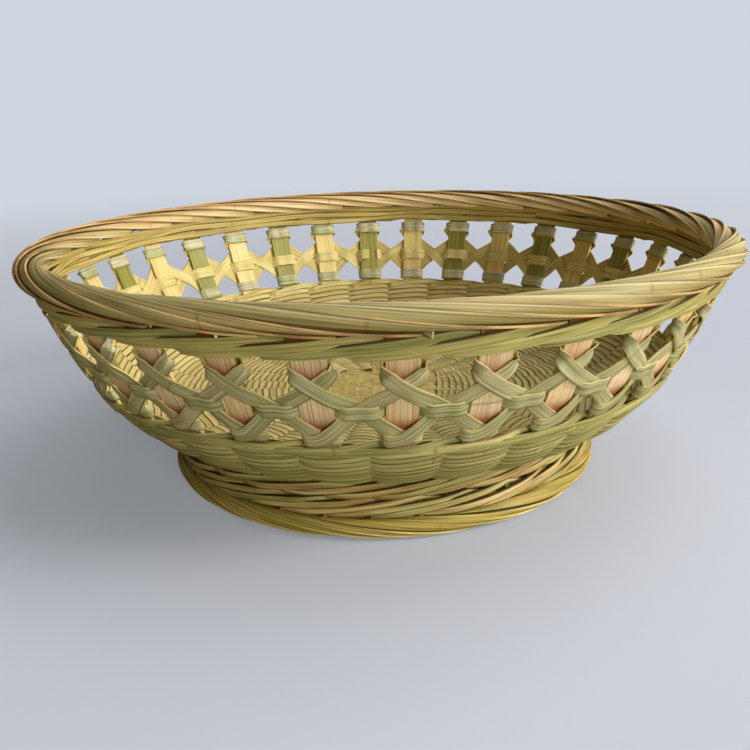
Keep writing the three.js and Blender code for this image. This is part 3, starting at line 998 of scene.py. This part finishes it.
# Heavier rods that close the side weave below the lattice
bandLook = {
    "firstStake": 0.5, "perStake": 12, "rods": 3, "over": 2, "turn": 0.7,
    "low": 48.9, "high": 51.3, "inner": -1.4, "outer": 2.0, "drift": 0.14,
    "width": 2.7, "thickness": 0.75, "tilt": -0.3, "crown": 0.25,
}
bindStrips(
    "lowerBand", wallRods(bandLook, math.pi + 0.1), bandLook["thickness"], (weaveBark, stripFlesh),
    ["lower_band"],
)
print("lower band made")


# Rolled border: each strand comes up inside the rim, passes over the top and ends low on
# the outside, about a quarter turn further on. Its far edge lies on top of the next strand.
strandSpread = {
    "start": 0.07, "arc": (0.94, 1.06), "bow": 3, "sway": 2, "lift": (-0.12, 0.1),
    "width": (0.95, 1.03), "endTaper": 0.35,
}
rimLook = {
    "strands": 32, "centreRadius": 143.6, "centreHeight": 96.95, "radiusOut": 4.85, "radiusUp": 3.95,
    "arc": 78.0, "from": 216.0, "to": -84.0, "width": 5.2, "thickness": 0.75,
    "tilt": 0.42, "curl": 0.17, "steps": 96, "coreOut": 3.3, "coreUp": 2.4,
    "tone": 0.52, "farTone": 0.34, "toneSpread": 0.26,
}


def makeBorder(name, look, finishes, node):
    strips = []
    step = 2 * math.pi / look["strands"]
    for i in range(look["strands"]):
        t = np.linspace(0, 1, look["steps"])
        start = (i + chance.uniform(-strandSpread["start"], strandSpread["start"])) * step
        span = math.radians(look["arc"] * chance.uniform(*strandSpread["arc"]))
        angle = start + span * t
        bow = chance.uniform(-strandSpread["bow"], strandSpread["bow"]) * np.sin(math.pi * t)
        bow = bow + chance.uniform(-strandSpread["sway"], strandSpread["sway"]) * np.sin(2 * math.pi * t)
        section = np.radians(look["from"] + (look["to"] - look["from"]) * t + bow)
        lift = chance.uniform(*strandSpread["lift"])
        out, up = look["radiusOut"] + lift, look["radiusUp"] + lift
        radius = look["centreRadius"] + out * np.cos(section)
        height = look["centreHeight"] + up * np.sin(section)
        points = roundAxis(angle, radius, height)
        facing = roundAxis(angle, np.cos(section) / out, np.sin(section) / up)
        taper = 1 - strandSpread["endTaper"] * np.clip(5 * t - 4, 0, 1)
        width = look["width"] * chance.uniform(*strandSpread["width"]) * taper
        # Painted light: the far side of the roll, which faces the lamps, is given the lighter, peachier
        # colours, the front the greener
        tone = look["tone"] - look["farTone"] * math.cos(start + span / 2)
        tone += chance.uniform(-look["toneSpread"], look["toneSpread"])
        strips.append(layStrip(
            points, width, facing=unit(facing), columns=4, tilt=look["tilt"], curl=look["curl"], tone=tone
        ))
    bindStrips(name, strips, look["thickness"], finishes, [node])


makeBorder("rimStrands", rimLook, (rimBark, rimFlesh), "rim_border")


def makeCore(name, look):
    bpy.ops.object.select_all(action="DESELECT")
    bpy.ops.mesh.primitive_torus_add(
        major_radius=look["centreRadius"] / 1000, minor_radius=look["coreOut"] / 1000,
        major_segments=96, minor_segments=10, location=(0, 0, 0),
    )
    core = bpy.context.object
    core.name = core.data.name = name
    bpy.ops.object.mode_set(mode="EDIT")
    bpy.ops.mesh.select_all(action="SELECT")
    bpy.ops.transform.resize(value=(1, 1, look["coreUp"] / look["coreOut"]))
    bpy.ops.transform.translate(value=(0, 0, look["centreHeight"] / 1000))
    bpy.ops.object.mode_set(mode="OBJECT")
    # The core is dark all over: painted shade inside the roll
    core.data.materials.append(rimPaintedShade)
    bpy.ops.object.shade_smooth()
    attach(core, "root")


makeCore("rimCore", rimLook)

# Strands end under the outside of the roll, where some of the cut ends stick out
stubLook = {
    "every": 5, "length": 4.0, "width": 2.4, "thickness": 0.8, "place": (0.1, 0.9),
    "reach": (0.6, 1.0), "radii": (141.6, 144.2, 145.4), "heights": (95.6, 93.6, 92.9),
    "turns": (0, 0.3, 0.75), "spacing": 0.8,
}


def makeStubs(look, rim):
    strips = []
    step = 2 * math.pi / rim["strands"]
    for i in range(0, rim["strands"], look["every"]):
        angle = (i + chance.uniform(*look["place"])) * step
        radius = np.array(look["radii"])
        radius[-1] += chance.uniform(*look["reach"])
        turn = np.array(look["turns"]) * look["length"] / rim["centreRadius"] + angle
        route = smoothRoute(roundAxis(turn, radius, look["heights"]), look["spacing"])
        strips.append(layStrip(route, look["width"], across=upright(1), columns=2))
    bindStrips("rimStubs", strips, look["thickness"], (rimBark, stakeFlesh))


makeStubs(stubLook, rimLook)
print("rim made")


# Foot: upright stakes, waling outside and inside of them, and a slanting border
footLook = {"height": 24.2, "radius": 96.0, "flare": 2.0}


def footRadius(height):
    return footLook["radius"] - footLook["flare"] * height / footLook["height"]


def footRods(look, seam):
    strips = []
    for angle, height, offset in waleRow(look, seam):
        points = roundAxis(angle, footRadius(height) + offset, height)
        width = look["width"] * chance.uniform(*look["widthSpread"])
        strips.append(layStrip(
            points, width, across=upright(len(points)), columns=4, tilt=look["tilt"], crown=look["crown"]
        ))
    return strips


lowerFootLook = {
    "firstStake": 0.5, "perStake": 10, "rods": 4, "over": 3, "turn": 1.5,
    "low": 9.5, "high": 15.4, "inner": -6.0, "outer": -1.6, "drift": 0.4,
    "width": 2.15, "thickness": 1.1, "tilt": -0.25, "crown": 0.6, "widthSpread": (0.9, 1.08),
}
upperFootLook = {**lowerFootLook, "low": 17.0, "high": 23.4}
bindStrips(
    "footWaleLower", footRods(lowerFootLook, math.pi + 0.5), lowerFootLook["thickness"],
    (footBark, stripFlesh), ["foot_wale_1", "foot_wale_2"],
)
bindStrips(
    "footWaleUpper", footRods(upperFootLook, math.pi - 0.6), upperFootLook["thickness"],
    (footBark, stripFlesh), ["foot_wale_3", "foot_wale_4"],
)


footStakeLook = {
    "low": 3.2, "topGap": 0.6, "depth": 4.2, "width": 6.0, "thickness": 1.2, "crown": 0.1, "points": 6,
}


def makeFootStakes(look):
    strips = []
    height = np.linspace(look["low"], footLook["height"] - look["topGap"], look["points"])
    for i in range(bowl["stakes"]):
        angle = i * pitch
        points = roundAxis(angle, footRadius(height) - look["depth"], height)
        left = leftOf(angle, len(points))
        strips.append(layStrip(points, look["width"], across=left, columns=2, crown=look["crown"]))
    bindStrips(
        "footStakes", strips, look["thickness"], (footBark, stakeBark), ["foot_core"]
    )


footLiningLook = {
    "levels": (8.2, 11.3, 14.4, 17.5, 20.6), "depth": 7.0, "wave": 0.6, "rowTurn": 1.7, "points": 257,
    "width": 3.4, "thickness": 0.8, "crown": 0.2,
}


def makeFootLining(look):
    strips = []
    for row, level in enumerate(look["levels"]):
        angle = np.linspace(0, 2 * math.pi - liningSeamGap, look["points"]) + look["rowTurn"] * row
        height = level + look["wave"] * np.sin(angle * bowl["stakes"] / 3 + 2 * row)
        points = roundAxis(angle, footRadius(height) - look["depth"], height)
        strips.append(layStrip(
            points, look["width"], across=upright(len(points)), columns=2, crown=look["crown"]
        ))
    bindStrips(
        "footLining", strips, look["thickness"], (footBark, stripFlesh),
        ["foot_inner_wale"],
    )


makeFootStakes(footStakeLook)
makeFootLining(footLiningLook)

footBorderLook = {
    "strands": 32, "centreRadius": 92.2, "centreHeight": 3.95, "radiusOut": 2.9, "radiusUp": 3.0,
    "arc": 82.0, "from": 190.0, "to": -95.0, "width": 3.5, "thickness": 0.9,
    "tilt": 0.3, "curl": 0.26, "steps": 56, "coreOut": 1.9, "coreUp": 1.9,
    "tone": 0.36, "farTone": 0.0, "toneSpread": 0.32,
}
makeBorder("footBorder", footBorderLook, (borderBark, stripFlesh), "foot_border")
makeCore("footBorderCore", footBorderLook)
print("foot made")


# Loose fibres that stand off the weave
fibreLook = {
    "count": 46, "width": 0.3, "thickness": 0.16, "lengths": (4.0, 13.0), "rise": 0.45,
    "lift": (0.8, 2.2), "heights": (48.0, 50.5, 44.0, 86.5, 88.5, 39.0), "offset": 2.1,
    "taper": 0.6, "tone": 0.8, "points": 7,
}


def makeFibres(look):
    strips = []
    for _ in range(look["count"]):
        angle = chance.uniform(0, 2 * math.pi)
        height = chance.choice(look["heights"])
        length = chance.uniform(*look["lengths"])
        rise = chance.uniform(-look["rise"], look["rise"])
        lift = chance.uniform(*look["lift"])
        way = chance.choice((-1, 1))
        t = np.linspace(0, 1, look["points"])
        turn = angle + way * length * t / wallRadius(height)
        arc = arcAt(height) + rise * length * t * (1.4 - t)
        points, upSlope = onWall(turn, arc, look["offset"] + lift * t * (1.5 - 0.8 * t))
        width = look["width"] * (1 - look["taper"] * t)
        strips.append(layStrip(points, width, across=upSlope * way, columns=1, tone=look["tone"]))
    bindStrips("looseFibres", strips, look["thickness"], (stripFlesh, stripFlesh))


makeFibres(fibreLook)
print("loose fibres made")

# Floor and backdrop: one pale sheet, level round the basket, that rises far out. It throws
# less and warmer light back on the basket than it shows. To the camera it also glows, fully
# far out, and by a smaller share near the basket: painted light that lightens the shadows
# on the floor.
stageLook = {
    "size": 9.0,
    "squares": 72,
    "below": 0.0003,
    "levelRadius": 1.7,
    "rise": 0.32,
    "colours": [(0.3, "#CCD0E2"), (0.7, "#D7DBEC")],
    "bounce": "#A09573",
    "backdrop": "#CFD5DE",
    "fade": (0.3, 1.3),
    "paintedNearLight": 0.3,
}


def makeStage(look):
    bpy.ops.object.select_all(action="DESELECT")
    bpy.ops.mesh.primitive_grid_add(
        x_subdivisions=look["squares"], y_subdivisions=look["squares"], size=look["size"],
        location=(0, 0, 0),
    )
    floor = bpy.context.object
    floor.name = "paleFloor"
    for vertex in floor.data.vertices:
        beyond = max(math.hypot(vertex.co.x, vertex.co.y) - look["levelRadius"], 0)
        vertex.co.z = look["rise"] * beyond * beyond - look["below"]
    material = bpy.data.materials.new("paleFloorFinish")
    material.use_nodes = True
    tree = material.node_tree
    shader = tree.nodes["Principled BSDF"]
    shader.inputs["Roughness"].default_value = 0.9
    where = addNode(tree, "ShaderNodeTexCoord")
    blotch = addNode(tree, "ShaderNodeTexNoise", {2: 1.6, 3: 2.0}, {0: where.outputs["Object"]})
    tint = addNode(tree, "ShaderNodeValToRGB", links={0: blotch.outputs[0]})
    fillRamp(tint.color_ramp, look["colours"])
    path = addNode(tree, "ShaderNodeLightPath")
    seen = addNode(
        tree,
        "ShaderNodeMix",
        {"data_type": "RGBA", 6: linearColour(look["bounce"])},
        {0: path.outputs["Is Camera Ray"], 7: tint.outputs[0]},
    )
    tree.links.new(seen.outputs[2], shader.inputs["Base Color"])
    away = addNode(
        tree, "ShaderNodeVectorMath", {"operation": "LENGTH"}, {0: where.outputs["Object"]}
    )
    near, far = look["fade"]
    fade = addNode(
        tree,
        "ShaderNodeMapRange",
        {"interpolation_type": "SMOOTHSTEP", 1: near, 2: far, 3: look["paintedNearLight"]},
        {0: away.outputs["Value"]},
    )
    share = addNode(
        tree,
        "ShaderNodeMath",
        {"operation": "MULTIPLY"},
        {0: fade.outputs[0], 1: path.outputs["Is Camera Ray"]},
    )
    glow = addNode(tree, "ShaderNodeEmission", {0: linearColour(look["backdrop"])})
    mixed = addNode(
        tree, "ShaderNodeMixShader", links={0: share.outputs[0], 1: shader.outputs[0], 2: glow.outputs[0]}
    )
    tree.links.new(mixed.outputs[0], tree.nodes["Material Output"].inputs[0])
    floor.data.materials.append(material)
    bpy.ops.object.shade_smooth()


makeStage(stageLook)


# Camera at the photograph's place: 368 mm from the axis and 156 mm up, turned so that the
# stakes stand where they show
cameraLook = {
    "distance": 368.0, "height": 155.6, "turn": 0.0538, "yaw": -0.009, "pitch": 0.3208,
    "roll": -0.0305, "lens": 40.03,
}


def makeCamera(look):
    turn, yaw, dip, roll = look["turn"], look["yaw"], look["pitch"], look["roll"]
    eye = Vector((look["distance"] * math.sin(turn), -look["distance"] * math.cos(turn), look["height"]))
    ahead = Vector((math.sin(yaw) * math.cos(dip), math.cos(yaw) * math.cos(dip), -math.sin(dip)))
    ahead.rotate(Matrix.Rotation(turn, 3, "Z"))
    right = ahead.cross(Vector((0, 0, 1))).normalized()
    up = right.cross(ahead)
    side = math.cos(roll) * right + math.sin(roll) * up
    top = -math.sin(roll) * right + math.cos(roll) * up
    bpy.ops.object.camera_add(location=eye / 1000)
    camera = bpy.context.object
    camera.name = "photoCamera"
    turnMatrix = Matrix((side, top, -ahead)).transposed()
    camera.rotation_mode = "QUATERNION"
    camera.rotation_quaternion = turnMatrix.to_quaternion()
    camera.data.lens = look["lens"]
    camera.data.sensor_width = 36
    camera.data.sensor_fit = "HORIZONTAL"
    camera.data.clip_start = 0.01
    bpy.context.scene.camera = camera


makeCamera(cameraLook)

# Daylight from the right, softer light from above, and a low fill from the front right
lightLook = {
    "key": {"at": (2.6, -0.7, 1.4), "size": 1.2, "power": 75.0, "colour": "#FFFCF6"},
    "window": {"at": (1.1, 0.4, 2.75), "size": 2.2, "power": 38.0, "colour": "#FAFBF8"},
    "fill": {"at": (1.4, -2.4, 0.35), "size": 0.9, "power": 58.0, "colour": "#F6FAF2"},
    "sky": {"colour": "#E6EAF4", "strength": 0.05},
}


def makeLights(look):
    for name in ("key", "window", "fill"):
        setting = look[name]
        bpy.ops.object.light_add(type="AREA", location=setting["at"])
        lamp = bpy.context.object
        lamp.name = name + "Lamp"
        lamp.data.size = setting["size"]
        lamp.data.energy = setting["power"]
        lamp.data.color = linearColour(setting["colour"])[:3]
        lamp.rotation_euler = (-Vector(setting["at"])).to_track_quat("-Z", "Y").to_euler()
    world = bpy.data.worlds.new("softSky")
    world.use_nodes = True
    sky = world.node_tree.nodes["Background"]
    sky.inputs[0].default_value = linearColour(look["sky"]["colour"])
    sky.inputs[1].default_value = look["sky"]["strength"]
    bpy.context.scene.world = world


makeLights(lightLook)
bpy.context.scene.view_settings.view_transform = "Standard"
print("stage, camera and lights set")
